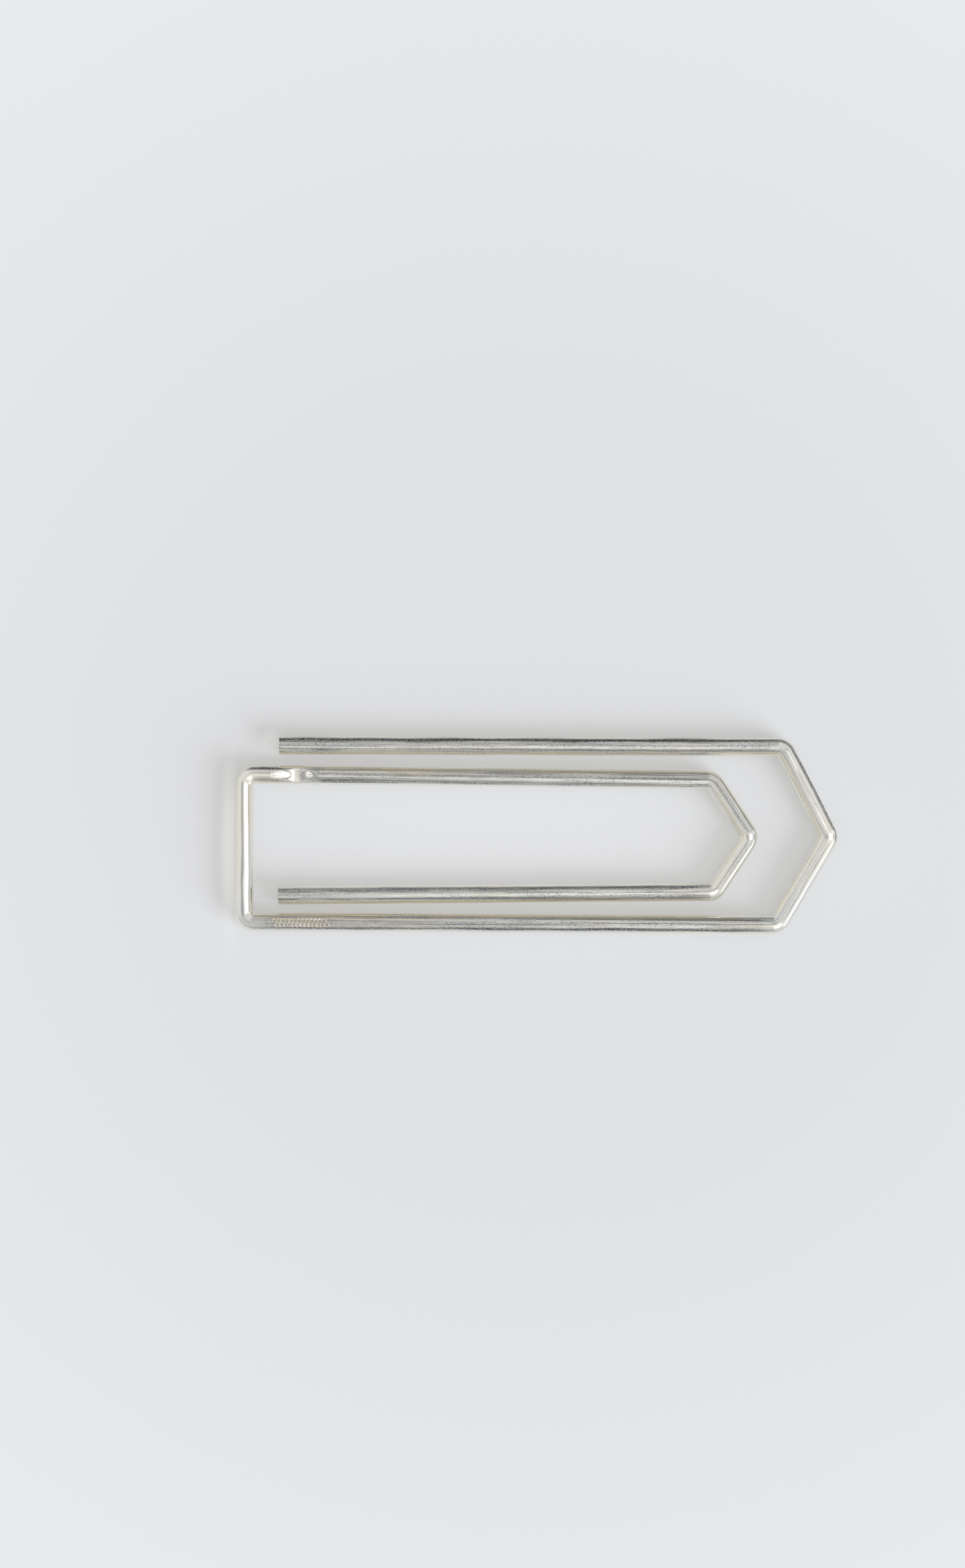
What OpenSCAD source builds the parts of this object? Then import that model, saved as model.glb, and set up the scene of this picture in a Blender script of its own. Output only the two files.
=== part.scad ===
// Paper-clip shaped money clip bent from round silver wire.
// Built about the end bar and the arrow axis, then moved so that the origin is
// the middle of the outline, on the surface that the clip lies on.
// +X points to the arrow tips, +Z is up, millimetres.

/* [Wire] */
// Diameter of the round wire
wire_d = 2.0; // [1.6:0.05:2.2]
// Radius of every bend, taken at the wire's centre line
bend_r = 1.1; // [1.1:0.05:1.4]

/* [Outer loop] */
// Cut end of the free leg, distance from the end bar
outer_end_x = 3.7; // [3.2:0.1:12]
// Free leg's height above the arrow axis at its cut end
outer_end_y = 9.65; // [9.4:0.05:10.5]
// Upper shoulder bend, distance from the end bar
outer_top_x = 56.7; // [54:0.1:62]
// Upper shoulder bend, height above the arrow axis
outer_top_y = 9.45; // [9.2:0.05:10.3]
// Outer arrow tip, distance from the end bar
outer_tip_x = 61.5; // [58:0.1:68]
// Lower shoulder bend, distance from the end bar
outer_low_x = 56.1; // [54:0.1:62]
// Lower shoulder bend, depth below the arrow axis
outer_low_y = 9.2; // [8.9:0.05:10]

/* [End bar] */
// Lower corner of the end bar, depth below the arrow axis
bar_low_y = 8.9; // [8.7:0.05:9.8]
// Upper corner of the end bar, height above the arrow axis
bar_top_y = 6.6; // [6.2:0.05:7]

/* [Tongue] */
// Upper tongue bend, distance from the end bar
tongue_top_x = 49.25; // [44:0.05:50]
// Upper tongue bend, height above the arrow axis
tongue_top_y = 6; // [5.6:0.05:6.4]
// Tongue tip, distance from the end bar
tongue_tip_x = 53.2; // [48:0.1:54]
// Lower tongue bend, distance from the end bar
tongue_low_x = 49.4; // [44:0.1:50]
// Lower tongue bend, depth below the arrow axis
tongue_low_y = 5.75; // [5.4:0.05:6]
// Cut end of the tongue's free leg, distance from the end bar
tongue_end_x = 3.6; // [3.2:0.1:12]
// Tongue free leg's depth below the arrow axis at its cut end
tongue_end_y = 6.1; // [5.6:0.05:6.4]

/* [Solder seam] */
// Middle of the solder seam, distance from the end bar
seam_x = 5.7; // [4:0.1:10]
// Length of solder between the two wires
seam_w = 0.8; // [0.4:0.1:1.2]
// Depth of the shallow groove filed across the top of the seam
seam_dip = 0.3; // [0.1:0.01:0.35]
// Radius of that groove, lengthwise
file_r = 8; // [6:0.5:12]

/* [Flexing] */
// Clearance at the root of each free leg, so that it can lift and drop
flex_gap = 0.1; // [0.08:0.01:0.15]
// Chamfer on the two cut wire ends
end_break = 0.12; // [0.05:0.01:0.2]

/* [Hidden] */
$fn = 96;
wire_r = wire_d / 2;
silver = [0.80, 0.79, 0.76];
bright = [0.88, 0.87, 0.84];

// The wire's route: corner points of its centre line from one cut end to the other
route = [
    [outer_end_x, outer_end_y],        // 0 cut end of the outer free leg
    [outer_top_x, outer_top_y],        // 1 upper shoulder
    [outer_tip_x, 0],                  // 2 outer arrow tip
    [outer_low_x, -outer_low_y],       // 3 lower shoulder
    [0, -bar_low_y],                   // 4 lower corner of the end bar
    [0, bar_top_y],                    // 5 upper corner of the end bar
    [tongue_top_x, tongue_top_y],      // 6 upper tongue bend
    [tongue_tip_x, 0],                 // 7 tongue tip
    [tongue_low_x, -tongue_low_y],     // 8 lower tongue bend
    [tongue_end_x, -tongue_end_y]      // 9 cut end of the tongue
];

function dir(a, b) = (b - a) / norm(b - a);
function to_prev(i) = dir(route[i], route[i - 1]);
function to_next(i) = dir(route[i], route[i + 1]);
// Half of the angle between the two runs that meet at corner i
function half(i) = acos(to_prev(i) * to_next(i)) / 2;
// Distance from corner i back to where each run meets the bend
function trim(i) = bend_r / tan(half(i));
function bend_in(i) = route[i] + to_prev(i) * trim(i);
function bend_out(i) = route[i] + to_next(i) * trim(i);
function bend_mid(i) =
    let (s = to_prev(i) + to_next(i)) route[i] + s / norm(s) * bend_r / sin(half(i));
function heading(v) = atan2(v[1], v[0]);
function sweep(i) = 180 - 2 * half(i);
// +1 where the route turns left at corner i, -1 where it turns right
function side(i) =
    let (a = -to_prev(i), b = to_next(i)) sign(a[0] * b[1] - a[1] * b[0]);

bar_mid_y = (bar_top_y - bar_low_y) / 2;
// Middle of the outline, which becomes the origin
mid_x = (bend_mid(2)[0] + bend_r) / 2;
mid_y = (outer_end_y + wire_r * dir(route[0], route[1])[0]
         + bend_mid(3)[1] - bend_r - wire_r) / 2;
place = [-mid_x, -mid_y, wire_r];

// Straight length of wire from a to b
module run(a, b) {
    translate([a[0], a[1], 0])
        rotate([0, 90, heading(b - a)])
            cylinder(h = norm(b - a), r = wire_r);
}

// Straight length whose far end b is cut square with a small chamfer
module run_to_cut(a, b) {
    long = norm(b - a);
    translate([a[0], a[1], 0])
        rotate([0, 90, heading(b - a)])
            rotate_extrude()
                polygon([[0, 0], [wire_r, 0], [wire_r, long - end_break],
                         [wire_r - end_break, long], [0, long]]);
}

// The bend at corner i
module bend(i) {
    c = bend_mid(i);
    from = side(i) > 0 ? bend_in(i) : bend_out(i);
    translate([c[0], c[1], 0])
        rotate([0, 0, heading(from - c)])
            rotate_extrude(angle = sweep(i))
                translate([bend_r, 0])
                    circle(r = wire_r);
}

// ---- outer wire, from its cut end to the solder ----

// Leg that ends free beside the end bar
module outer_free_leg() {
    color(silver)
        translate(place)
            run_to_cut(bend_in(1) + flex_gap * to_prev(1), route[0]);
}

// Bend between the free leg and the arrow
module outer_upper_shoulder() {
    color(silver) translate(place) bend(1);
}

// Upper side of the outer arrow
module outer_upper_side() {
    color(silver) translate(place) run(bend_out(1), bend_in(2));
}

// Bend at the point of the outer arrow
module outer_tip() {
    color(bright) translate(place) bend(2);
}

// Lower side of the outer arrow
module outer_lower_side() {
    color(bright) translate(place) run(bend_out(2), bend_in(3));
}

// Bend between the arrow and the long leg
module outer_lower_shoulder() {
    color(bright) translate(place) bend(3);
}

// Long leg from the lower shoulder to the end bar
module outer_long_leg() {
    color(silver) translate(place) run(bend_out(3), bend_in(4));
}

// Bend between the long leg and the end bar
module end_bar_lower_corner() {
    color(bright) translate(place) bend(4);
}

// Half of the end bar that stays with the outer loop
module end_bar_lower_half() {
    color(bright) translate(place) run(bend_out(4), [0, bar_mid_y]);
}

// Half of the end bar that twists with the tongue
module end_bar_upper_half() {
    color(bright) translate(place) run([0, bar_mid_y], bend_in(5));
}

// Bend between the end bar and the tongue
module end_bar_upper_corner() {
    color(bright) translate(place) bend(5);
}

// Last short length of the outer wire, up to the solder
module seam_stub() {
    color(silver)
        translate(place)
            difference() {
                run(bend_out(5), seam_at(-0.5));
                file_cut();
            }
}

// ---- solder ----

// Point on the tongue's long leg, counted in seam widths from the seam's middle
function seam_at(k) = route[5] + to_next(5) * (seam_x + k * seam_w);

// Round groove filed across the top of the seam and the wire on both sides of it
module file_cut() {
    translate([seam_at(0)[0], seam_at(0)[1], wire_r + file_r - seam_dip])
        rotate([90, 0, heading(to_next(5))])
            cylinder(h = 3 * wire_d, r = file_r, center = true);
}

// Solder that fills the butt joint, dressed by the groove
module solder_seam() {
    color(bright)
        translate(place)
            difference() {
                run(seam_at(-0.5), seam_at(0.5));
                file_cut();
            }
}

// ---- tongue wire, from the solder to its cut end ----

// Long leg of the tongue
module tongue_long_leg() {
    color(silver)
        translate(place)
            difference() {
                run(seam_at(0.5), bend_in(6));
                file_cut();
            }
}

// Bend between the long leg and the tongue's arrow
module tongue_upper_bend() {
    color(silver) translate(place) bend(6);
}

// Upper side of the tongue's arrow
module tongue_upper_side() {
    color(silver) translate(place) run(bend_out(6), bend_in(7));
}

// Bend at the point of the tongue
module tongue_tip() {
    color(bright) translate(place) bend(7);
}

// Lower side of the tongue's arrow
module tongue_lower_side() {
    color(bright) translate(place) run(bend_out(7), bend_in(8));
}

// Bend between the arrow and the tongue's free leg
module tongue_lower_bend() {
    color(bright) translate(place) bend(8);
}

// Tongue leg that ends free beside the end bar
module tongue_free_leg() {
    color(silver)
        translate(place)
            run_to_cut(bend_out(8) + flex_gap * to_next(8), route[9]);
}

outer_free_leg();
outer_upper_shoulder();
outer_upper_side();
outer_tip();
outer_lower_side();
outer_lower_shoulder();
outer_long_leg();
end_bar_lower_corner();
end_bar_lower_half();
end_bar_upper_half();
end_bar_upper_corner();
seam_stub();
solder_seam();
tongue_long_leg();
tongue_upper_bend();
tongue_upper_side();
tongue_tip();
tongue_lower_side();
tongue_lower_bend();
tongue_free_leg();
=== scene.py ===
import math

import bpy
import numpy as np
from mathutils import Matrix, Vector


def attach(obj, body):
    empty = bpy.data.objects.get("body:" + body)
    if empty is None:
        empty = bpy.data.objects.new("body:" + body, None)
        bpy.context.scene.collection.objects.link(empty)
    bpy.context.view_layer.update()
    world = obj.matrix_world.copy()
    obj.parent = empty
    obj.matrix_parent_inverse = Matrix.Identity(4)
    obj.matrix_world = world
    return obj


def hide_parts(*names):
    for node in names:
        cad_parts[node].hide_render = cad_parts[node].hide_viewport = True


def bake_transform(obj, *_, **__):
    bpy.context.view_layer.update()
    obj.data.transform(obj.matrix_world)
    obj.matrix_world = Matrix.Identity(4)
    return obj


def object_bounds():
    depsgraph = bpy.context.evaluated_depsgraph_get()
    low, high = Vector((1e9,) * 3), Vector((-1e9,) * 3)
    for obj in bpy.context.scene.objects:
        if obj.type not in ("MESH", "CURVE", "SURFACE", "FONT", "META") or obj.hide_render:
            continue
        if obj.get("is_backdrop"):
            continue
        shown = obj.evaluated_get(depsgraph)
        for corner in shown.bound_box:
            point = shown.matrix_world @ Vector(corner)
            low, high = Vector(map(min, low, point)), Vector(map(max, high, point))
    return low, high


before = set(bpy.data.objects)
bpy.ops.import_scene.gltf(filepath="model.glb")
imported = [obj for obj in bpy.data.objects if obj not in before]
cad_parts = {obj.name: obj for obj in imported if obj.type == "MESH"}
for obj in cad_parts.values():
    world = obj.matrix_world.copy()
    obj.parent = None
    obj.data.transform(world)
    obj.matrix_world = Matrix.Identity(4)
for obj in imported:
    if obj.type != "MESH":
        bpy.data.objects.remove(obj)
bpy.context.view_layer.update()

MM = 0.001

# ---------------------------------------------------------------------------
# The wire's route, in mm from the end bar's centre line and the arrow axis
# ---------------------------------------------------------------------------
R = 1.0  # wire radius
B = 1.1  # bend radius on the centre line
ROUTE = np.array(
    [
        (3.7, 9.65),
        (56.7, 9.45),
        (61.5, 0.0),
        (56.1, -9.2),
        (0.0, -8.9),
        (0.0, 6.6),
        (49.25, 6.0),
        (53.2, 0.0),
        (49.4, -5.75),
        (3.6, -6.1),
    ]
)
SEAM_X, SEAM_W = 5.7, 0.8


def unit(v):
    return v / np.linalg.norm(v)


segs = []  # (kind, s0, s1, data)
corner = {}  # corner -> (s at its start, s at its end)
s = 0.0
at = ROUTE[0]
for i in range(1, 9):
    a, b = unit(ROUTE[i - 1] - ROUTE[i]), unit(ROUTE[i + 1] - ROUTE[i])
    half = math.acos(float(a @ b)) / 2
    trim = B / math.tan(half)
    p_in, p_out = ROUTE[i] + a * trim, ROUTE[i] + b * trim
    run = float(np.linalg.norm(p_in - at))
    segs.append(("line", s, s + run, (at, -a)))
    s += run
    mid = ROUTE[i] + unit(a + b) * B / math.sin(half)
    left = 1.0 if (-a[0] * b[1] + a[1] * b[0]) > 0 else -1.0
    sweep = math.pi - 2 * half
    start = math.atan2(*(p_in - mid)[::-1])
    segs.append(("arc", s, s + B * sweep, (mid, start, left)))
    corner[i] = (s, s + B * sweep)
    s += B * sweep
    at = p_out
run = float(np.linalg.norm(ROUTE[9] - at))
segs.append(("line", s, s + run, (at, unit(ROUTE[9] - at))))
LENGTH = s + run

# The middle of the outline is the origin, as in the CAD
tip_mid = [g[3][0] for g in segs if g[0] == "arc"][1]
low_mid = [g[3][0] for g in segs if g[0] == "arc"][2]
first = unit(ROUTE[1] - ROUTE[0])
MID = np.array(
    [(tip_mid[0] + B) / 2, (ROUTE[0][1] + R * first[0] + low_mid[1] - B - R) / 2]
)


def centre(s):
    """(point, direction) of the centre line at each s, in the row frame, mm."""
    s = np.atleast_1d(np.asarray(s, float))
    p, t = np.zeros((len(s), 2)), np.zeros((len(s), 2))
    for n, (kind, s0, s1, data) in enumerate(segs):
        here = (s >= s0 if n else s >= -9) & (s < s1 if n < len(segs) - 1 else s <= 999)
        u = (s[here] - s0)[:, None]
        if kind == "line":
            p[here], t[here] = data[0] + u * data[1], data[1]
        else:
            mid, start, left = data
            ang = start + left * u[:, 0] / B
            p[here] = mid + B * np.stack([np.cos(ang), np.sin(ang)], 1)
            t[here] = left * np.stack([-np.sin(ang), np.cos(ang)], 1)
    return p - MID, t


S_BAR = corner[4][1] + (ROUTE[5][1] - ROUTE[4][1]) / 2 - B  # middle of the end bar
S_SEAM = corner[5][1] + SEAM_X - B / math.tan(
    math.acos(float(unit(ROUTE[4] - ROUTE[5]) @ unit(ROUTE[6] - ROUTE[5]))) / 2
)
PIECES = [  # name, s at its start, s at its end
    ("outer_free_leg", 0.0, corner[1][0]),
    ("outer_upper_shoulder", *corner[1]),
    ("outer_upper_side", corner[1][1], corner[2][0]),
    ("outer_tip", *corner[2]),
    ("outer_lower_side", corner[2][1], corner[3][0]),
    ("outer_lower_shoulder", *corner[3]),
    ("outer_long_leg", corner[3][1], corner[4][0]),
    ("end_bar_lower_corner", *corner[4]),
    ("end_bar_lower_half", corner[4][1], S_BAR),
    ("end_bar_upper_half", S_BAR, corner[5][0]),
    ("end_bar_upper_corner", *corner[5]),
    ("seam_stub", corner[5][1], S_SEAM - SEAM_W / 2),
    ("solder_seam", S_SEAM - SEAM_W / 2, S_SEAM + SEAM_W / 2),
    ("tongue_long_leg", S_SEAM + SEAM_W / 2, corner[6][0]),
    ("tongue_upper_bend", *corner[6]),
    ("tongue_upper_side", corner[6][1], corner[7][0]),
    ("tongue_tip", *corner[7]),
    ("tongue_lower_side", corner[7][1], corner[8][0]),
    ("tongue_lower_bend", *corner[8]),
    ("tongue_free_leg", corner[8][1], LENGTH),
]
SPAN = {n: (a, b) for n, a, b in PIECES}

# ---------------------------------------------------------------------------
# Surface: a slightly uneven drawn wire, with its groove, dents and marks
# ---------------------------------------------------------------------------
rng = np.random.RandomState(31)


def drift(scale, count=5, lo=7.0, hi=60.0):
    """A slow wandering of the given size along the wire, as a function of s."""
    periods = lo * (hi / lo) ** rng.rand(count)
    phases = rng.rand(count) * 2 * math.pi
    weights = rng.rand(count) + 0.4
    weights = weights / np.sqrt((weights**2).sum() / 2)
    return lambda s: scale * sum(
        w * np.sin(2 * math.pi * s / p + f) for w, p, f in zip(weights, periods, phases)
    )


WAVES = []
for k, size, shortest in ((2, 0.010, 9.0), (3, 0.007, 7.0), (5, 0.0045, 5.0), (9, 0.0016, 3.0)):
    WAVES.append((k, size, drift(1.6, lo=shortest), drift(0.35, lo=shortest), rng.rand() * 6.28))
SWELL = drift(0.004, lo=5.0, hi=30.0)

# Filed groove at the seam: (distance from the solder's middle, depth), mm
SADDLE = np.array(
    [
        (-1.5, 0.0),
        (-1.2, 0.04),
        (-0.85, 0.15),
        (-0.55, 0.236),
        (-0.3, 0.272),
        (-0.1, 0.283),
        (0.1, 0.284),
        (0.3, 0.275),
        (0.5, 0.254),
        (0.75, 0.212),
        (0.9, 0.18),
        (1.3, 0.11),
        (1.8, 0.04),
        (2.2, 0.0),
    ]
)


def smooth_line(x, table):
    """Monotone smooth curve through the table's points, level outside it."""
    xs, ys = table[:, 0], table[:, 1]
    h, d = np.diff(xs), np.diff(ys) / np.diff(xs)
    m = np.zeros(len(xs))
    m[1:-1] = np.where(d[:-1] * d[1:] > 0, 2 * d[:-1] * d[1:] / (d[:-1] + d[1:] + 1e-12), 0)
    x = np.clip(x, xs[0], xs[-1] - 1e-9)
    n = np.clip(np.searchsorted(xs, x, "right") - 1, 0, len(xs) - 2)
    t = (x - xs[n]) / h[n]
    return (
        ys[n] * (1 + 2 * t) * (1 - t) ** 2
        + h[n] * m[n] * t * (1 - t) ** 2
        + ys[n + 1] * t * t * (3 - 2 * t)
        + h[n] * m[n + 1] * t * t * (t - 1)
    )


# Small dents: (s, angle round the wire in degrees, depth, half length, half width)
DENTS = [
    (S_SEAM + 0.1, 60, 0.02, 0.3, 0.14),
    (SPAN["outer_upper_side"][0] + 4.8, 34, 0.05, 0.22, 0.13),
    (SPAN["outer_long_leg"][0] + 24.3, 118, 0.012, 0.3, 0.1),
    (SPAN["outer_long_leg"][0] + 39.6, 62, 0.02, 0.12, 0.16),
    (SPAN["outer_long_leg"][0] + 33.0, 84, 0.014, 0.1, 0.12),
    (SPAN["tongue_long_leg"][0] + 12.2, 66, 0.012, 0.18, 0.1),
    (SPAN["tongue_long_leg"][0] + 27.0, 100, 0.01, 0.25, 0.09),
    (SPAN["outer_free_leg"][0] + 18.3, 72, 0.013, 0.16, 0.12),
    (SPAN["outer_free_leg"][0] + 37.4, 105, 0.01, 0.12, 0.12),
    (SPAN["tongue_free_leg"][0] + 14.0, 75, 0.012, 0.2, 0.1),
    (SPAN["tongue_free_leg"][0] + 30.5, 110, 0.01, 0.14, 0.12),
    (SPAN["outer_lower_side"][0] + 4.1, 64, 0.012, 0.14, 0.12),
    (SPAN["tongue_lower_side"][0] + 3.0, 80, 0.01, 0.12, 0.1),
    (SPAN["end_bar_lower_half"][0] + 3.2, 74, 0.01, 0.12, 0.1),
]

# Punched marks: a plain band of round pits in two staggered rows, mm
S_ROW = SPAN["outer_long_leg"][1]
MARKS = []
for n in range(13):
    for k in range(2):
        MARKS.append(
            (
                S_ROW - (2.2 + 0.43 * n + 0.215 * k) + 0.03 * (rng.rand() - 0.5),
                0.04 + 0.5 * (k - 0.5) + 0.03 * (rng.rand() - 0.5),
                0.19 + 0.02 * rng.rand(),
                0.12 + 0.04 * rng.rand(),
            )
        )
for n in range(5):
    MARKS.append((SPAN["tongue_long_leg"][0] + 2.0 + 0.34 * n, 0.4 + 0.03 * (n % 2), 0.1, 0.03))


def surface(s, phi, scale=1.0):
    """Cross-section (y to the left of travel, z up) of the wire at each s and angle."""
    s, phi = np.broadcast_arrays(s, phi)
    d = SWELL(s)
    for k, size, turn, breathe, phase in WAVES:
        d = d + size * (1 + breathe(s)) * np.cos(k * phi + phase + turn(s))
    r = (R + d) * scale
    y, z = r * np.cos(phi), r * np.sin(phi)
    # groove, with softly rounded edges and a slight crown across it; the file has
    # left a flat, round-ended facet on each side, both sloping away from the bar
    u = s - S_SEAM
    depth = smooth_line(u, SADDLE)
    for mid_u, long, wide, a, b in (
        (-1.5, 0.92, 0.46, (-2.85, 0.0), (-0.58, 0.315)),
        (1.25, 0.5, 0.43, (0.75, 0.185), (1.72, 0.3)),
    ):
        along = (u - mid_u) / long
        if mid_u < 0:
            along = np.maximum(along, 0)
        edge = np.clip((1 - along**2 - (y / wide) ** 2) / 0.3, 0, 1)
        flat = np.clip(a[1] + (u - a[0]) * (b[1] - a[1]) / (b[0] - a[0]), 0, b[1])
        flat = np.where((u > a[0] - 0.3) & (u < b[0] + 0.3), flat, 0)
        depth = np.maximum(depth, flat * edge * edge * (3 - 2 * edge))
    cut = R + 0.01 - depth - 0.03 * y * y
    gap = z - cut
    soft = 0.035
    over = 0.5 * (gap + np.sqrt(gap * gap + soft * soft)) - 0.5 * (
        np.sqrt(1 + soft * soft) - 1
    )
    near = np.clip(depth / 0.02, 0, 1)
    z = np.where(z > 0, z - near * over * (z > 0), z)
    dent = np.zeros(z.shape)
    for s0, deg, deep, hl, hw in DENTS:
        arc = (phi - math.radians(deg) + math.pi) % (2 * math.pi) - math.pi
        q = ((s - s0) / hl) ** 2 + (arc * R / hw) ** 2
        dent += deep * np.exp(-q) - 0.2 * deep * np.exp(-((np.sqrt(q) - 1.7) ** 2) * 4)
    y, z = y - dent * np.cos(phi), z - dent * np.sin(phi)
    # marks, pressed straight down from above, with a low burr round each
    for s0, y0, wide, deep in MARKS:
        q = np.sqrt((s - s0) ** 2 + (y - y0) ** 2) / wide
        z = np.where(
            z > 0,
            z - deep * np.exp(-((q / 0.62) ** 2.4)) + 0.14 * deep * np.exp(-(((q - 1.15) / 0.25) ** 2)),
            z,
        )
    return y, z


def rings():
    """(s, scale) of every ring, and the number of the ring at each piece's end."""
    steps = []
    for name, a, b in PIECES:
        if "shoulder" in name or "bend" in name or "tip" in name or "corner" in name:
            cuts = [(a, b, 0.07)]
        elif name in ("seam_stub", "solder_seam"):
            cuts = [(a, b, 0.04)]
        elif name == "tongue_long_leg":
            cuts = [(a, a + 3.8, 0.04), (a + 3.8, b, 0.25)]
        elif name == "outer_long_leg":
            cuts = [(a, S_ROW - 8.2, 0.25), (S_ROW - 8.2, S_ROW - 1.6, 0.033), (S_ROW - 1.6, b, 0.2)]
        elif name == "outer_free_leg":
            cuts = [(a, a + 0.1, 0.0), (a + 0.1, b, 0.25)]
        elif name == "tongue_free_leg":
            cuts = [(a, b - 0.1, 0.25), (b - 0.1, b, 0.0)]
        else:
            cuts = [(a, b, 0.14)]
        out = []
        for c, d, step in cuts:
            if step == 0.0:
                t = np.radians([0, 22, 45, 68, 90])
                pts = [(0.1 * (1 - math.sin(x)), 1 - 0.1 * (1 - math.cos(x))) for x in t]
                face = [(0.0, q) for q in (0.86, 0.8, 0.55, 0.25)]
                if c == a and name == "outer_free_leg":
                    out += [(q[0], q[1]) for q in reversed(pts + face)]
                else:
                    out += [(b - q[0], q[1]) for q in pts + face]
            else:
                n = max(2, int(math.ceil((d - c) / step)))
                out += [(x, 1.0) for x in np.linspace(c, d, n + 1)]
        steps.append(out)
    ring, spans = [], []
    for out in steps:
        lo = len(ring) - 1 if ring else 0
        for q in out:
            if not ring or abs(q[0] - ring[-1][0]) > 1e-7 or abs(q[1] - ring[-1][1]) > 1e-7:
                ring.append(q)
        spans.append((lo, len(ring) - 1))
    return np.array(ring), spans


N = 120
PHI = np.arange(N) / N * 2 * math.pi
ring, spans = rings()
P2, T2 = centre(ring[:, 0])
Y, Z = surface(ring[:, :1], PHI[None, :], ring[:, 1:2])
LEFT = np.stack([-T2[:, 1], T2[:, 0]], 1)
GRID = np.zeros((len(ring), N, 3))
GRID[..., 0] = P2[:, None, 0] + LEFT[:, None, 0] * Y
GRID[..., 1] = P2[:, None, 1] + LEFT[:, None, 1] * Y
GRID[..., 2] = R + Z
GRID[..., 2] = np.maximum(GRID[..., 2], 0.0)
WIRE = np.stack([np.broadcast_to(ring[:, :1], Y.shape), Y, Z], -1)

# Normals of the whole wire, so that the pieces' shading meets without a line
nxt = np.roll(GRID, -1, axis=1)
quad = np.cross(nxt[1:] - GRID[:-1], GRID[1:] - nxt[:-1])
acc = np.zeros_like(GRID)
acc[:-1] += quad + np.roll(quad, 1, axis=1)
acc[1:] += quad + np.roll(quad, 1, axis=1)
acc[0] = [-T2[0, 0], -T2[0, 1], 0]
acc[-1] = [T2[-1, 0], T2[-1, 1], 0]
NORMAL = acc / np.linalg.norm(acc, axis=2, keepdims=True)
outward = GRID - np.concatenate([P2, np.full((len(P2), 1), R)], 1)[:, None, :]
if float((NORMAL[40] * outward[40]).sum()) < 0:
    NORMAL = -NORMAL
    NORMAL[0] = [-T2[0, 0], -T2[0, 1], 0]
    NORMAL[-1] = [T2[-1, 0], T2[-1, 1], 0]


# How strongly the drawn lines show, along the wire: most on the legs, least on the bar
DRAWN_ON = {
    "outer_upper_shoulder": 0.6,
    "outer_upper_side": 0.4,
    "outer_tip": 0.3,
    "outer_lower_side": 0.3,
    "outer_lower_shoulder": 0.35,
    "end_bar_lower_corner": 0.3,
    "end_bar_lower_half": 0.12,
    "end_bar_upper_half": 0.12,
    "end_bar_upper_corner": 0.15,
    "seam_stub": 0.5,
    "solder_seam": 0.1,
    "tongue_upper_bend": 0.7,
    "tongue_upper_side": 0.6,
    "tongue_tip": 0.4,
    "tongue_lower_side": 0.4,
    "tongue_lower_bend": 0.5,
}
DRAWN_AT = [(0.0, 1.0), (corner[1][0] - 1.5, 1.0)]
for n, a, b in PIECES[1:-1]:
    inset = min(1.5, (b - a) / 2 - 1e-3)
    value = 1.0 if "leg" in n else DRAWN_ON[n]
    DRAWN_AT += [(a + inset, value), (b - inset, value)]
DRAWN_AT += [(PIECES[-1][1] + 1.5, 1.0), (LENGTH, 1.0)]
DRAWN = np.interp(ring[:, 0], [q[0] for q in DRAWN_AT], [q[1] for q in DRAWN_AT])
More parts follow.
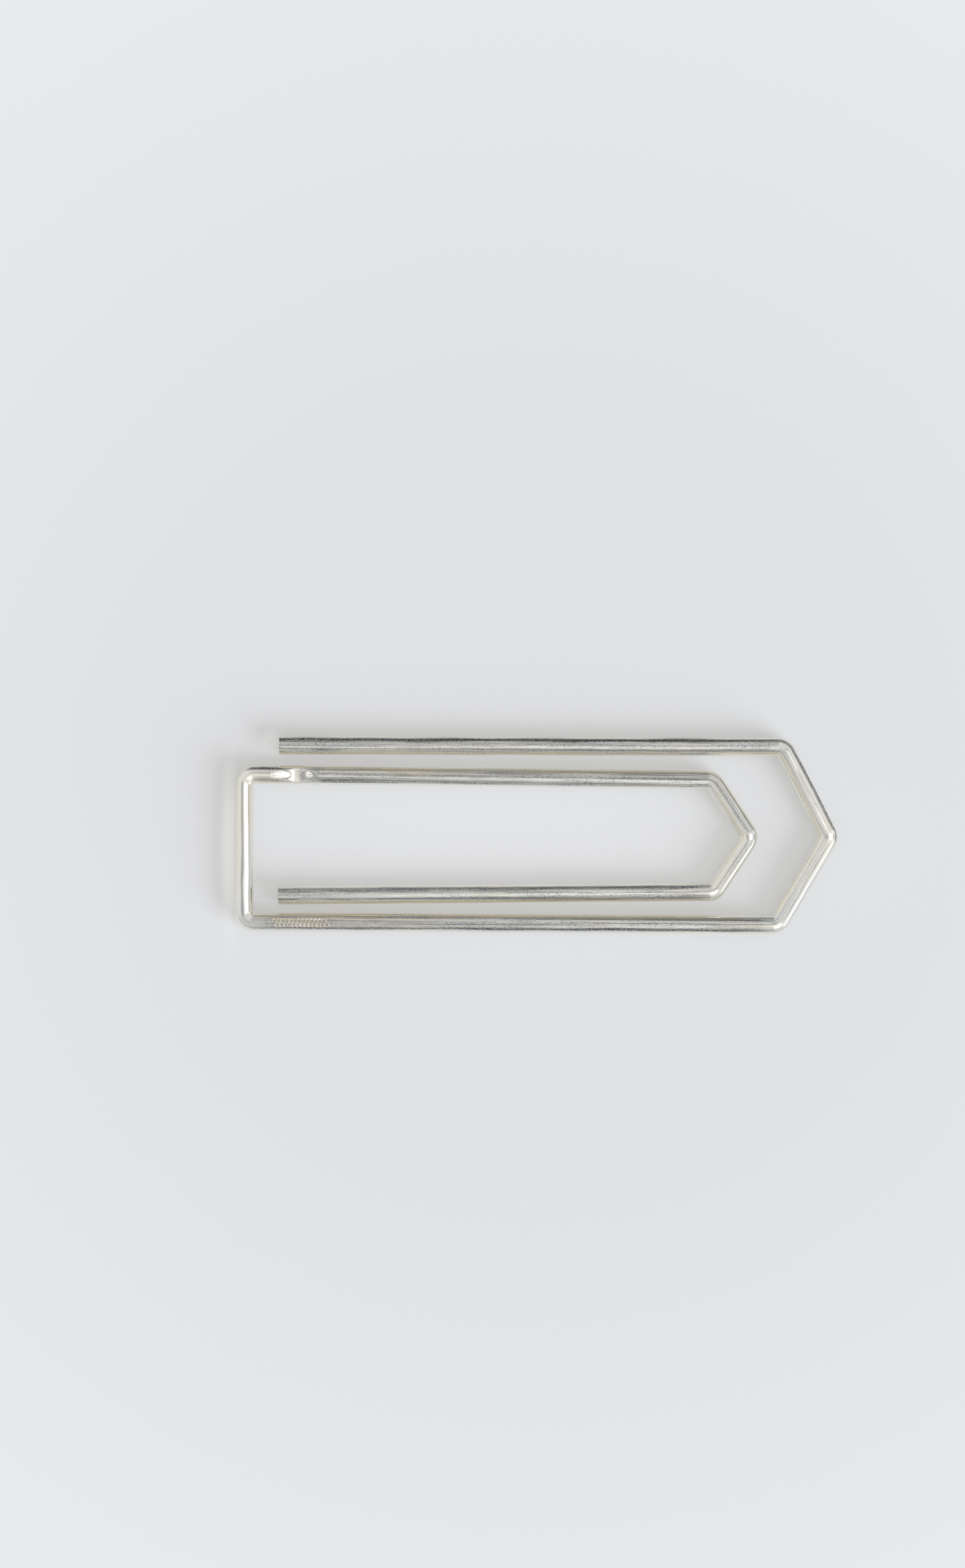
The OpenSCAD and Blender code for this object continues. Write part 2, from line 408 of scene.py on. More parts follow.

# Painted dark reflections along the flanks, with some tarnish: knots of (s, side position, half width, strength)
sp = SPAN
BANDS = [
    [
        (-1, 0.59, 0.19, 0.9),
        (8, 0.6, 0.19, 1.0),
        (sp["outer_free_leg"][1] - 8, 0.62, 0.19, 0.95),
        (sp["outer_upper_side"][0], 0.74, 0.12, 0.7),
        (sp["outer_upper_side"][0] + 2, 0.8, 0.1, 1.0),
        (sp["outer_upper_side"][1] - 1, 0.8, 0.1, 1.0),
        (sp["outer_tip"][0] + 0.6, 0.83, 0.08, 0.9),
        (sp["outer_tip"][1], 0.88, 0.04, 0.0),
    ],
    [
        (sp["outer_tip"][0], 0.24, 0.04, 0.0),
        (sp["outer_tip"][1], 0.24, 0.06, 0.35),
        (sp["outer_lower_side"][0] + 2, 0.24, 0.065, 0.6),
        (sp["outer_lower_side"][1] - 1, 0.26, 0.07, 0.6),
        (sp["outer_lower_shoulder"][1], 0.3, 0.05, 0.0),
    ],
    [
        (sp["tongue_tip"][1] - 0.5, 0.3, 0.04, 0.0),
        (sp["tongue_lower_side"][0] + 1, 0.3, 0.055, 0.45),
        (sp["tongue_lower_side"][1] - 1, 0.28, 0.055, 0.45),
        (sp["tongue_lower_bend"][1], 0.24, 0.05, 0.0),
    ],
    [
        (-1, -0.35, 0.1, 0.1),
        (3, -0.42, 0.11, 0.25),
        (4.6, -0.42, 0.15, 1.0),
        (6, -0.4, 0.12, 0.4),
        (8, -0.36, 0.1, 0.15),
        (sp["outer_free_leg"][1], -0.3, 0.05, 0.0),
    ],
    [
        (sp["tongue_lower_bend"][1] - 1, -0.3, 0.05, 0.0),
        (sp["tongue_free_leg"][0] + 2, -0.5, 0.16, 0.9),
        (sp["tongue_free_leg"][0] + 9, -0.44, 0.14, 0.75),
        (LENGTH - 8, -0.42, 0.13, 0.75),
        (LENGTH + 1, -0.45, 0.15, 0.7),
    ],
    [
        (sp["outer_long_leg"][0] - 0.5, 0.55, 0.05, 0.0),
        (sp["outer_long_leg"][0] + 4, 0.6, 0.13, 0.8),
        (sp["outer_long_leg"][0] + 18, 0.6, 0.14, 1.0),
        (sp["outer_long_leg"][0] + 34, 0.58, 0.13, 0.85),
        (sp["outer_long_leg"][1] - 3, 0.58, 0.1, 0.6),
        (sp["outer_long_leg"][1], 0.6, 0.05, 0.0),
    ],
    [
        (sp["outer_long_leg"][0] + 1, -0.5, 0.12, 0.5),
        (sp["outer_long_leg"][0] + 20, -0.54, 0.14, 0.35),
        (sp["outer_long_leg"][1] - 12, -0.54, 0.14, 0.3),
        (sp["outer_long_leg"][1], -0.55, 0.05, 0.0),
    ],
    [
        (sp["tongue_long_leg"][0] + 1.4, -0.58, 0.05, 0.0),
        (sp["tongue_long_leg"][0] + 2.4, -0.56, 0.18, 0.75),
        (sp["tongue_long_leg"][0] + 8, -0.56, 0.14, 0.4),
        (sp["tongue_long_leg"][1] - 6, -0.6, 0.12, 0.3),
        (sp["tongue_long_leg"][1], -0.6, 0.05, 0.0),
    ],
    [
        (sp["tongue_long_leg"][0] + 6, 0.03, 0.045, 0.0),
        (sp["tongue_long_leg"][0] + 14, 0.06, 0.045, 0.75),
        (sp["tongue_long_leg"][1], 0.1, 0.045, 0.7),
        (sp["tongue_upper_side"][0] + 1, 0.14, 0.045, 0.7),
        (sp["tongue_tip"][0], 0.12, 0.04, 0.6),
        (sp["tongue_tip"][1], 0.04, 0.04, 0.6),
        (sp["tongue_lower_side"][1], 0.0, 0.04, 0.5),
        (sp["tongue_free_leg"][0] + 5, 0.0, 0.03, 0.0),
    ],
    [
        (sp["tongue_upper_bend"][0], 0.66, 0.03, 0.0),
        (sp["tongue_upper_side"][0] + 1, 0.72, 0.045, 0.4),
        (sp["tongue_upper_side"][1], 0.72, 0.045, 0.4),
        (sp["tongue_tip"][1], 0.72, 0.03, 0.0),
    ],
    [
        (sp["seam_stub"][0] - 0.8, 0.66, 0.05, 0.0),
        (sp["seam_stub"][0] - 0.2, 0.66, 0.15, 0.9),
        (sp["seam_stub"][0] + 0.6, 0.66, 0.19, 1.0),
        (S_SEAM - 2.2, 0.66, 0.15, 0.95),
        (S_SEAM - 1.5, 0.56, 0.07, 0.6),
        (S_SEAM - 0.9, 0.3, 0.04, 0.0),
    ],
    [
        (sp["seam_stub"][0] - 0.3, -0.5, 0.08, 0.0),
        (sp["seam_stub"][0] + 0.5, -0.5, 0.16, 0.45),
        (S_SEAM - 2.2, -0.55, 0.14, 0.45),
        (S_SEAM - 1.3, -0.6, 0.06, 0.0),
    ],
]
# painted dark reflections, with some tarnish, for each vertex
TARNISH_AND_DARK_REFLECTION = np.zeros(Y.shape)
for n, band in enumerate(BANDS):
    q = np.array(band)
    sr = ring[:, 0]
    wander = 0.02 * np.sin(sr / 2.9 + n) + 0.018 * np.sin(sr / 1.3 + 2 * n)
    mid_y = np.interp(sr, q[:, 0], q[:, 1]) + wander * (np.interp(sr, q[:, 0], q[:, 2]) / 0.12)
    wide = np.interp(sr, q[:, 0], q[:, 2]) * (1 + 0.2 * np.sin(sr / 2.1 + 3 * n))
    power = np.interp(sr, q[:, 0], q[:, 3], left=0, right=0)
    fade = np.exp(-(np.abs((Y - mid_y[:, None]) / wide[:, None]) ** 2.6)) * power[:, None]
    TARNISH_AND_DARK_REFLECTION = np.maximum(TARNISH_AND_DARK_REFLECTION, np.where(Z > 0, fade, 0))


# Painted reflection: warmer, straw-toned flanks, where the wire mirrors the card and the wire beside it
WARM_BANDS = [
    [(S_SEAM + 1.5, 0.55, 0.1, 0.0), (S_SEAM + 3, 0.55, 0.25, 0.9), (sp["tongue_long_leg"][1] - 12, 0.62, 0.22, 0.8), (sp["tongue_long_leg"][1], 0.7, 0.15, 0.3), (sp["tongue_upper_side"][1], 0.75, 0.15, 0.3)],
    [(-1, -0.7, 0.26, 0.5), (sp["outer_free_leg"][1], -0.7, 0.26, 0.4)],
    [(sp["tongue_lower_bend"][1], 0.82, 0.1, 0.2), (sp["tongue_free_leg"][0] + 6, 0.82, 0.14, 0.9), (LENGTH + 1, 0.85, 0.14, 1.0)],
    [(sp["outer_long_leg"][0], -0.6, 0.2, 0.3), (sp["outer_long_leg"][0] + 8, -0.6, 0.3, 0.6), (sp["outer_long_leg"][1], -0.6, 0.3, 0.5)],
    [(sp["outer_lower_side"][0] - 1, -0.6, 0.1, 0.0), (sp["outer_lower_side"][0] + 2, -0.58, 0.12, 0.9), (sp["outer_lower_side"][1] - 1, -0.66, 0.12, 1.0), (sp["outer_lower_shoulder"][1], -0.6, 0.1, 0.0)],
    [(sp["outer_upper_side"][0], -0.6, 0.25, 0.4), (sp["outer_upper_side"][1], -0.6, 0.25, 0.5)],
    [(sp["tongue_upper_bend"][0], -0.5, 0.2, 0.0), (sp["tongue_upper_side"][0] + 0.5, -0.5, 0.28, 0.55), (sp["tongue_lower_side"][1], -0.5, 0.28, 0.55), (sp["tongue_lower_bend"][1], -0.4, 0.2, 0.0)],
    [(corner[4][0], -0.5, 0.3, 0.2), (S_BAR, -0.6, 0.3, 0.35), (S_SEAM - 2, -0.6, 0.3, 0.3), (S_SEAM - 1, -0.6, 0.3, 0.0)],
]
# painted warm reflections on the flanks, for each vertex
WARM_TINT_AND_REFLECTION = np.zeros(Y.shape)
for n, band in enumerate(WARM_BANDS):
    q = np.array(band)
    sr = ring[:, 0]
    mid_y = np.interp(sr, q[:, 0], q[:, 1]) + 0.04 * np.sin(sr / 3.3 + 2 * n)
    wide = np.interp(sr, q[:, 0], q[:, 2]) * (1 + 0.25 * np.sin(sr / 4.7 + n))
    power = np.interp(sr, q[:, 0], q[:, 3], left=0, right=0)
    WARM_TINT_AND_REFLECTION = np.maximum(WARM_TINT_AND_REFLECTION, np.exp(-(((Y - mid_y[:, None]) / wide[:, None]) ** 2)) * power[:, None])
# the pits are cleaner than the wire around them
for s0, y0, wide, deep in MARKS:
    near = np.exp(-(((ring[:, 0:1] - s0) / wide) ** 2) - ((Y - y0) / wide) ** 2)
    WARM_TINT_AND_REFLECTION = np.maximum(WARM_TINT_AND_REFLECTION, np.where(Z > 0, 0.8 * near, 0))


def make_piece(name, lo, hi):
    """A closed mesh of the rings lo to hi, with the whole wire's normals."""
    g = GRID[lo : hi + 1]
    n = len(g)
    ends = np.array(
        [[P2[lo][0], P2[lo][1], R], [P2[hi][0], P2[hi][1], R]]
    )
    verts = np.concatenate([g.reshape(-1, 3), ends]) * MM
    a = (np.arange(n - 1)[:, None] * N + np.arange(N)[None, :]).ravel()
    b = (np.arange(n - 1)[:, None] * N + (np.arange(N)[None, :] + 1) % N).ravel()
    quads = np.stack([a, b, b + N, a + N], 1)
    j = np.arange(N)
    k = (j + 1) % N
    first = np.stack([k, j, np.full(N, n * N)], 1)
    base = (n - 1) * N
    last = np.stack([base + j, base + k, np.full(N, n * N + 1)], 1)
    me = bpy.data.meshes.new(name)
    faces = [tuple(f) for f in quads] + [tuple(f) for f in first] + [tuple(f) for f in last]
    f = quads[(n // 2) * N]
    p, q, r = verts[f[0]], verts[f[1]], verts[f[3]]
    if float(np.cross(q - p, r - p) @ NORMAL[lo + n // 2, 0]) < 0:
        faces = [f[::-1] for f in faces]
    me.from_pydata(verts.tolist(), [], faces)
    me.polygons.foreach_set("use_smooth", np.ones(len(faces), bool))
    loops = np.zeros(len(me.loops), np.int32)
    me.loops.foreach_get("vertex_index", loops)
    vn = np.concatenate([NORMAL[lo : hi + 1].reshape(-1, 3), np.zeros((2, 3))])
    ln = vn[loops].copy()
    cap = 4 * len(quads)
    ln[cap : cap + 3 * N] = [-T2[lo][0], -T2[lo][1], 0]
    ln[cap + 3 * N :] = [T2[hi][0], T2[hi][1], 0]
    me.normals_split_custom_set(ln.tolist())
    wire = np.concatenate(
        [WIRE[lo : hi + 1].reshape(-1, 3), [[ring[lo][0], 0, 0], [ring[hi][0], 0, 0]]]
    )
    layer = me.attributes.new("wire", "FLOAT_VECTOR", "POINT")
    layer.data.foreach_set("vector", wire.astype(np.float32).ravel())
    drawn = np.concatenate([np.repeat(DRAWN[lo : hi + 1], N), [DRAWN[lo], DRAWN[hi]]])
    layer = me.attributes.new("drawn", "FLOAT", "POINT")
    layer.data.foreach_set("value", drawn.astype(np.float32))
    # painted dark reflections, with some tarnish
    dark = np.concatenate([TARNISH_AND_DARK_REFLECTION[lo : hi + 1].ravel(), [0, 0]])
    layer = me.attributes.new("tarnish_and_dark_reflection", "FLOAT", "POINT")
    layer.data.foreach_set("value", dark.astype(np.float32))
    # painted warm reflections on the flanks, and the pits' tint
    straw = np.concatenate([WARM_TINT_AND_REFLECTION[lo : hi + 1].ravel(), [0, 0]])
    layer = me.attributes.new("warm_tint_and_reflection", "FLOAT", "POINT")
    layer.data.foreach_set("value", straw.astype(np.float32))
    me.validate(verbose=False)
    ob = bpy.data.objects.new(name + "_wire", me)
    bpy.context.scene.collection.objects.link(ob)
    return ob


# ---------------------------------------------------------------------------
# Materials
# ---------------------------------------------------------------------------
def new_material(name):
    m = bpy.data.materials.new(name)
    m.use_nodes = True
    nt = m.node_tree
    nt.nodes.clear()
    out = nt.nodes.new("ShaderNodeOutputMaterial")
    bsdf = nt.nodes.new("ShaderNodeBsdfPrincipled")
    nt.links.new(bsdf.outputs[0], out.inputs[0])
    return m, nt, bsdf


def math_node(nt, op, a, b=None, clamp=False):
    n = nt.nodes.new("ShaderNodeMath")
    n.operation = op
    n.use_clamp = clamp
    for sock, v in zip(n.inputs, (a, b)):
        if v is None:
            continue
        if isinstance(v, (int, float)):
            sock.default_value = v
        else:
            nt.links.new(v, sock)
    return n.outputs[0]


def noise(nt, coord, scale, detail=2.0, rough=0.5, seed=0.0):
    """Noise in the wire's own coordinates, stretched by scale per mm along and across."""
    m = nt.nodes.new("ShaderNodeMapping")
    m.vector_type = "POINT"
    m.inputs["Scale"].default_value = scale
    m.inputs["Location"].default_value = (seed, seed * 1.7, seed * 0.6)
    nt.links.new(coord, m.inputs["Vector"])
    n = nt.nodes.new("ShaderNodeTexNoise")
    n.inputs["Scale"].default_value = 1.0
    n.inputs["Detail"].default_value = detail
    n.inputs["Roughness"].default_value = rough
    nt.links.new(m.outputs[0], n.inputs["Vector"])
    return n.outputs["Fac"]


def ramp(nt, fac, stops):
    n = nt.nodes.new("ShaderNodeValToRGB")
    while len(n.color_ramp.elements) > 1:
        n.color_ramp.elements.remove(n.color_ramp.elements[-1])
    for k, (pos, col) in enumerate(stops):
        e = n.color_ramp.elements[0] if k == 0 else n.color_ramp.elements.new(pos)
        e.position = pos
        e.color = (*col, 1) if len(col) == 3 else col
    nt.links.new(fac, n.inputs[0])
    return n.outputs[0]


def mix(nt, fac, a, b):
    n = nt.nodes.new("ShaderNodeMix")
    n.data_type = "RGBA"
    for sock, v in ((n.inputs[0], fac), (n.inputs[6], a), (n.inputs[7], b)):
        if isinstance(v, (int, float)):
            sock.default_value = v
        elif isinstance(v, tuple):
            sock.default_value = (*v, 1)
        else:
            nt.links.new(v, sock)
    return n.outputs[2]


def silver(name, base, tan, blue, patch, streak, speckle, rough_lo, rough_hi, seed):
    """Sterling wire: drawn streaks along it, a fine speckle, faint warm and cool patches, painted warm reflections on
    the flanks and painted dark reflections with some tarnish.
    """
    m, nt, bsdf = new_material(name)
    at = nt.nodes.new("ShaderNodeAttribute")
    at.attribute_name = "wire"
    co = at.outputs["Vector"]
    dr = nt.nodes.new("ShaderNodeAttribute")
    dr.attribute_name = "drawn"
    ta = nt.nodes.new("ShaderNodeAttribute")
    ta.attribute_name = "tarnish_and_dark_reflection"
    xyz = nt.nodes.new("ShaderNodeSeparateXYZ")
    nt.links.new(co, xyz.inputs[0])
    # the outermost edges stay clean and bright
    mid = ramp(nt, math_node(nt, "ABSOLUTE", xyz.outputs["Y"]), [(0.72, (1, 1, 1)), (0.86, (0, 0, 0))])
    wa = nt.nodes.new("ShaderNodeAttribute")
    wa.attribute_name = "warm_tint_and_reflection"
    # and so, though less, do the straw-toned flanks of painted warm reflection
    calm = ramp(nt, wa.outputs["Fac"], [(0.1, (1, 1, 1)), (0.9, (0.4, 0.4, 0.4))])
    drawn = math_node(nt, "MULTIPLY", math_node(nt, "MULTIPLY", dr.outputs["Fac"], mid), calm)
    broad = noise(nt, co, (0.07, 1.5, 1.5), 2.0, 0.5, seed)
    broad2 = noise(nt, co, (0.12, 2.0, 2.0), 2.0, 0.5, seed + 9)
    lines = noise(nt, co, (0.045, 5.5, 5.5), 3.0, 0.6, seed + 3)
    hair = noise(nt, co, (0.016, 6.0, 6.0), 1.0, 0.5, seed + 13)
    lane = noise(nt, co, (0.03, 2.6, 2.6), 2.0, 0.5, seed + 17)
    fine = noise(nt, co, (0.4, 11.0, 11.0), 2.0, 0.6, seed + 5)
    grain = noise(nt, co, (4.0, 9.0, 9.0), 2.0, 0.6, seed + 7)
    # colour
    # warm tint: random patches plus the painted warm reflections on the flanks
    warm_tint_and_reflection = math_node(nt, "MULTIPLY", ramp(nt, broad, [(0.42, (0, 0, 0)), (0.66, (1, 1, 1))]), patch * 0.6)
    warm_tint_and_reflection = math_node(nt, "ADD", warm_tint_and_reflection, wa.outputs["Fac"], clamp=True)
    cool = math_node(nt, "MULTIPLY", ramp(nt, broad2, [(0.46, (0, 0, 0)), (0.68, (1, 1, 1))]), patch)
    col = mix(nt, math_node(nt, "MULTIPLY", drawn, 0.15), base, (0.915, 0.92, 0.91))
    col = mix(nt, warm_tint_and_reflection, col, tan)
    col = mix(nt, cool, col, blue)
    specks = ramp(nt, grain, [(0.36, (0.48, 0.48, 0.47)), (0.5, (1, 1, 1))])
    scratches = ramp(nt, fine, [(0.34, (0.5, 0.5, 0.51)), (0.46, (0.86, 0.86, 0.86)), (0.58, (1, 1, 1))])
    bright = ramp(nt, hair, [(0.5, (0.78, 0.78, 0.775)), (0.56, (1, 1, 1))])
    dark = ramp(nt, hair, [(0.36, (0.36, 0.37, 0.39)), (0.4, (1, 1, 1))])
    bands = ramp(nt, lane, [(0.38, (0.74, 0.74, 0.74)), (0.44, (0.88, 0.88, 0.875)), (0.52, (1, 1, 1))])
    rub = ramp(nt, broad2, [(0.4, (0.15, 0.15, 0.15)), (0.6, (0.9, 0.9, 0.9))])
    for layer, share in ((specks, rub), (scratches, 0.6), (bright, 0.9), (dark, 0.75), (bands, 0.9)):
        mul = nt.nodes.new("ShaderNodeMix")
        mul.data_type = "RGBA"
        mul.blend_type = "MULTIPLY"
        nt.links.new(math_node(nt, "MULTIPLY", drawn, share), mul.inputs[0])
        nt.links.new(col, mul.inputs[6])
        nt.links.new(layer, mul.inputs[7])
        col = mul.outputs[2]
    # painted dark reflections, with some tarnish, broken up by the speckle
    broken = ramp(nt, grain, [(0.42, (1, 1, 1)), (0.6, (0.58, 0.58, 0.58))])
    amount = math_node(nt, "MULTIPLY", ta.outputs["Fac"], broken)
    col = mix(nt, amount, col, (0.075, 0.08, 0.088))
    nt.links.new(col, bsdf.inputs["Base Color"])
    # roughness
    mr = nt.nodes.new("ShaderNodeMapRange")
    mr.inputs["From Min"].default_value = 0.3
    mr.inputs["From Max"].default_value = 0.7
    mr.inputs["To Min"].default_value = rough_lo
    mr.inputs["To Max"].default_value = rough_hi
    nt.links.new(lines, mr.inputs[0])
    rough = math_node(nt, "ADD", mr.outputs[0], math_node(nt, "MULTIPLY", drawn, 0.02))
    nt.links.new(rough, bsdf.inputs["Roughness"])
    # relief: drawn lines, then finer ones, then speckle
    h = math_node(nt, "MULTIPLY", lines, streak)
    h = math_node(nt, "ADD", h, math_node(nt, "MULTIPLY", fine, streak * 0.22))
    h = math_node(nt, "ADD", h, math_node(nt, "MULTIPLY", grain, speckle))
    h = math_node(nt, "MULTIPLY", h, drawn)
    bump = nt.nodes.new("ShaderNodeBump")
    bump.inputs["Strength"].default_value = 1.0
    bump.inputs["Distance"].default_value = 1e-6
    nt.links.new(h, bump.inputs["Height"])
    nt.links.new(bump.outputs[0], bsdf.inputs["Normal"])
    bsdf.inputs["Metallic"].default_value = 1.0
    return m


SILVER = (0.915, 0.902, 0.83)
TAN = (0.92, 0.84, 0.67)
BLUE = (0.80, 0.845, 0.86)
wire_mat = silver("silver_wire", SILVER, TAN, BLUE, 0.6, 20.0, 6.0, 0.035, 0.09, 2.0)
seam_mat = silver("silver_solder", (0.87, 0.845, 0.75), TAN, BLUE, 0.3, 10.0, 3.0, 0.11, 0.18, 6.0)

pieces = {}
for (name, a, b), (lo, hi) in zip(PIECES, spans):
    ob = make_piece(name, lo, hi)
    pieces[name] = ob
    ob.data.materials.append(seam_mat if name == "solder_seam" else wire_mat)
    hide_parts(name)


def row(s):
    p, _ = centre([s])
    return (p[0][0] * MM, p[0][1] * MM, R * MM)


for name in (
    "outer_upper_shoulder",
    "outer_upper_side",
    "outer_tip",
    "outer_lower_side",
    "outer_lower_shoulder",
    "outer_long_leg",
    "end_bar_lower_corner",
):
    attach(pieces[name], "outer_loop")
for name in (
    "end_bar_upper_corner",
    "seam_stub",
    "solder_seam",
    "tongue_long_leg",
    "tongue_upper_bend",
    "tongue_upper_side",
    "tongue_tip",
    "tongue_lower_side",
    "tongue_lower_bend",
):
    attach(pieces[name], "tongue")
for name in ("end_bar_lower_half", "end_bar_upper_half"):
    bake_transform(pieces[name], "outer_loop", "tongue", start=row(corner[4][1]), end=row(corner[5][0]))
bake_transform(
    pieces["outer_free_leg"],
    "outer_loop",
    "outer_leg",
    start=row(corner[1][0]),
    end=row(corner[1][0] - 18),
)
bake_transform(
    pieces["tongue_free_leg"],
    "tongue",
    "tongue_leg",
    start=row(corner[8][1]),
    end=row(corner[8][1] + 16),
)

# ---------------------------------------------------------------------------
# Floor, studio surroundings, key lamp and camera
# ---------------------------------------------------------------------------
side = 3.0
me = bpy.data.meshes.new("floor")
me.from_pydata(
    [(-side, -side, 0), (side, -side, 0), (side, side, 0), (-side, side, 0)], [], [(0, 1, 2, 3)]
)
floor = bpy.data.objects.new("floor", me)
bpy.context.scene.collection.objects.link(floor)
BACKDROP = (0.775, 0.785, 0.8)
fm, nt, bsdf = new_material("pale_card")
tc = nt.nodes.new("ShaderNodeTexCoord")
mp = nt.nodes.new("ShaderNodeMapping")
mp.inputs["Location"].default_value = (0.0, -0.005, 0)
nt.links.new(tc.outputs["Object"], mp.inputs["Vector"])
ln = nt.nodes.new("ShaderNodeVectorMath")
ln.operation = "LENGTH"
nt.links.new(mp.outputs[0], ln.inputs[0])
far = math_node(nt, "DIVIDE", ln.outputs["Value"], 0.1, clamp=True)
# painted light: the card's colour brightens outwards, from about 45 mm to 100 mm from the middle
card = ramp(nt, far, [(0.0, (0.208, 0.214, 0.226)), (0.45, (0.211, 0.217, 0.23)), (1.0, (0.252, 0.258, 0.27))])
nt.links.new(card, bsdf.inputs["Base Color"])
nz = nt.nodes.new("ShaderNodeTexNoise")
nz.inputs["Scale"].default_value = 900
nz.inputs["Detail"].default_value = 3
nt.links.new(tc.outputs["Object"], nz.inputs["Vector"])
bp = nt.nodes.new("ShaderNodeBump")
bp.inputs["Distance"].default_value = 2e-6
nt.links.new(nz.outputs["Fac"], bp.inputs["Height"])
nt.links.new(bp.outputs[0], bsdf.inputs["Normal"])
bsdf.inputs["Roughness"].default_value = 0.75
bsdf.inputs["Specular IOR Level"].default_value = 0.15
bsdf.inputs["Emission Color"].default_value = (1.0, 0.985, 0.95, 1)
# painted light: the card's emission rises in soft patches beside the bar, at the leg's end and inside the loops, in
# place of light that the wire throws back onto the card
glow = 0.42
for cx, cy, sx, sy, lift in ((-0.0322, -0.0012, 0.001, 0.0078, 0.13), (-0.0279, 0.0098, 0.001, 0.0012, 0.07), (0.0, -0.0008, 0.031, 0.0105, 0.034)):
    place = nt.nodes.new("ShaderNodeMapping")
    place.inputs["Location"].default_value = (-cx / sx, -cy / sy, 0)
    place.inputs["Scale"].default_value = (1 / sx, 1 / sy, 0)
    nt.links.new(tc.outputs["Object"], place.inputs["Vector"])
    sq = nt.nodes.new("ShaderNodeVectorMath")
    sq.operation = "DOT_PRODUCT"
    nt.links.new(place.outputs[0], sq.inputs[0])
    nt.links.new(place.outputs[0], sq.inputs[1])
    edge = math_node(nt, "MULTIPLY", math_node(nt, "POWER", sq.outputs["Value"], 1.6), -1.0)
    fall = math_node(nt, "POWER", math.e, edge)
    glow = math_node(nt, "ADD", math_node(nt, "MULTIPLY", fall, lift), glow)
nt.links.new(glow, bsdf.inputs["Emission Strength"])
# the card sweeps away into the plain backdrop
sweep = nt.nodes.new("ShaderNodeEmission")
sweep.inputs["Color"].default_value = (*BACKDROP, 1)
away = math_node(nt, "DIVIDE", ln.outputs["Value"], 1.4, clamp=True)
fade = ramp(nt, away, [(0.08, (0, 0, 0)), (0.3, (0.5, 0.5, 0.5)), (0.75, (1, 1, 1))])
blend = nt.nodes.new("ShaderNodeMixShader")
nt.links.new(fade, blend.inputs[0])
nt.links.new(bsdf.outputs[0], blend.inputs[1])
nt.links.new(sweep.outputs[0], blend.inputs[2])
card_out = [n for n in nt.nodes if n.bl_idname == "ShaderNodeOutputMaterial"][0]
nt.links.new(blend.outputs[0], card_out.inputs[0])
floor.data.materials.append(fm)
floor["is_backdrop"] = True


def level(v):
    """Radiance that a silver surface shows as the display value v."""
    c = v / 255
    lin = c / 12.92 if c <= 0.04045 else ((c + 0.055) / 1.055) ** 2.4
    return lin / 0.9


# Brightness of the surroundings: for each compass direction, (angle from the zenith, value)
TOP = [(0, 245), (5, 238), (9, 196), (18, 184), (27, 192), (38, 212), (46, 206), (54, 188), (62, 172), (70, 160), (80, 154), (90, 156)]
BOTTOM = [(0, 245), (5, 252), (10, 244), (16, 228), (24, 228), (33, 222), (41, 214), (50, 208), (59, 202), (68, 196), (78, 194), (90, 198)]
WEST = [(0, 232), (4, 200), (8, 186), (13, 168), (18, 168), (24, 180), (31, 208), (40, 221), (90, 221)]
EAST = [(0, 234), (5, 224), (9, 244), (13, 300), (18, 340), (45, 340), (52, 300), (57, 230), (62, 198), (68, 184), (74, 198), (80, 214), (90, 220)]
TIP = [(0, 232), (9, 228), (12, 265), (19, 265), (24, 236), (34, 234), (50, 234), (60, 240), (68, 262), (90, 270)]
SOUTH_EAST = [(0, 230), (8, 214), (16, 218), (24, 222), (33, 226), (41, 228), (50, 232), (58, 240), (66, 262), (74, 300), (90, 315)]
CORNER = [(0, 234), (6, 228), (12, 255), (18, 275), (34, 285), (46, 275), (56, 245), (66, 226), (76, 220), (90, 220)]
NORTH_EAST = [(0, 232), (8, 219), (17, 210), (25, 214), (40, 222), (55, 231), (66, 230), (74, 215), (80, 176), (85, 140), (90, 125)]
CORNER_2 = [(0, 232), (8, 222), (14, 230), (22, 234), (36, 234), (48, 230), (60, 220), (74, 200), (82, 165), (90, 140)]
NORTH_WEST = [(0, 230), (8, 214), (20, 216), (40, 219), (60, 224), (75, 224), (90, 215)]
SOUTH_WEST = [(0, 230), (8, 213), (25, 207), (45, 207), (90, 210)]
ROOM = [
    (-180, WEST),
    (-165, WEST),
    (-150, SOUTH_WEST),
    (-115, SOUTH_WEST),
    (-95, BOTTOM),
    (-84, BOTTOM),
    (-76, CORNER),
    (-50, CORNER),
    (-36, SOUTH_EAST),
    (-27, SOUTH_EAST),
    (-22, TIP),
    (-14, TIP),
    (-4, EAST),
    (4, EAST),
    (14, TIP),
    (18, TIP),
    (24, NORTH_EAST),
    (38, NORTH_EAST),
    (46, CORNER_2),
    (74, CORNER_2),
    (84, TOP),
    (96, TOP),
    (125, NORTH_WEST),
    (160, NORTH_WEST),
    (172, WEST),
    (180, WEST),
]
world = bpy.data.worlds.new("studio")
bpy.context.scene.world = world
world.use_nodes = True
nt = world.node_tree
nt.nodes.clear()
out = nt.nodes.new("ShaderNodeOutputWorld")
tc = nt.nodes.new("ShaderNodeTexCoord")
sep = nt.nodes.new("ShaderNodeSeparateXYZ")
nt.links.new(tc.outputs["Generated"], sep.inputs[0])
zen = math_node(nt, "MULTIPLY", math_node(nt, "ARCCOSINE", sep.outputs["Z"]), 2 / math.pi, clamp=True)
azi = math_node(nt, "MULTIPLY", math_node(nt, "ARCTAN2", sep.outputs["Y"], sep.outputs["X"]), 180 / math.pi)
made = {}
colour = None
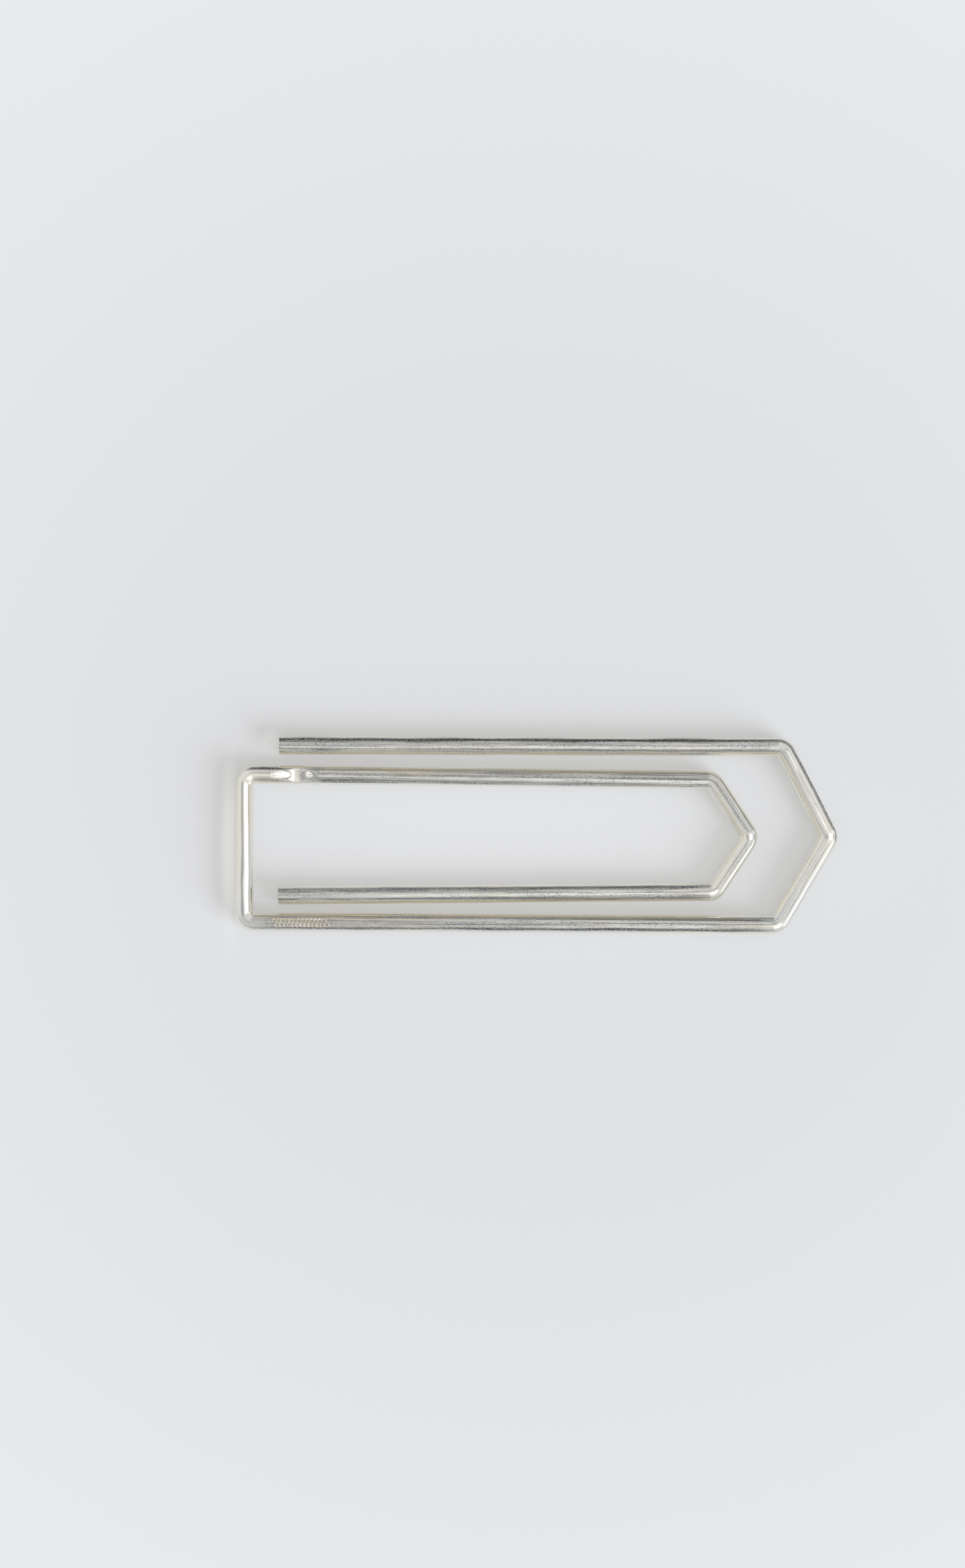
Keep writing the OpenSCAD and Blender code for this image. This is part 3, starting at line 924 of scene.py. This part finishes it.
for k, (deg, table) in enumerate(ROOM):
    if id(table) not in made:
        stops = []
        for ang, v in table:
            lv = level(v) / 3
            cool = 0.3 if v < 172 else 0.0
            stops.append((ang / 90, (lv * (1.0 - 0.03 * cool), lv, lv * (1.015 + 0.05 * cool))))
        made[id(table)] = ramp(nt, zen, stops)
    if colour is None:
        colour = made[id(table)]
    else:
        prev = ROOM[k - 1][0]
        if ROOM[k - 1][1] is not table:
            t = math_node(nt, "DIVIDE", math_node(nt, "SUBTRACT", azi, prev), deg - prev, clamp=True)
            colour = mix(nt, t, colour, made[id(table)])
studio = nt.nodes.new("ShaderNodeBackground")
studio.inputs["Strength"].default_value = 3.0
nt.links.new(colour, studio.inputs["Color"])
plain = nt.nodes.new("ShaderNodeBackground")
plain.inputs["Color"].default_value = (*BACKDROP, 1)
lp = nt.nodes.new("ShaderNodeLightPath")
mx = nt.nodes.new("ShaderNodeMixShader")
nt.links.new(lp.outputs["Is Camera Ray"], mx.inputs[0])
nt.links.new(studio.outputs[0], mx.inputs[1])
nt.links.new(plain.outputs[0], mx.inputs[2])
nt.links.new(mx.outputs[0], out.inputs[0])

lamp = bpy.data.lights.new("key", "SUN")
lamp.angle = math.radians(40)
lamp.energy = 7.6
lamp.color = (0.97, 1.0, 1.05)
key = bpy.data.objects.new("key", lamp)
bpy.context.scene.collection.objects.link(key)
el, az = math.radians(17.5), math.radians(-33)
key.location = (0.4 * math.cos(el) * math.cos(az), 0.4 * math.cos(el) * math.sin(az), 0.4 * math.sin(el))
key.visible_glossy = False
key.visible_camera = False
key.rotation_euler = (-Vector(key.location)).to_track_quat("-Z", "Z").to_euler()

cam = bpy.data.cameras.new("camera")
cam.sensor_width = 36
DIST = 0.6
cam.lens = 36 * (DIST - 0.001) / 0.1647
cam.clip_start = 0.01
camera = bpy.data.objects.new("camera", cam)
camera.location = (-0.005608, 0.005341, DIST)
bpy.context.scene.collection.objects.link(camera)
bpy.context.scene.camera = camera
bpy.context.scene.view_settings.view_transform = "Standard"

lo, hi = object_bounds()
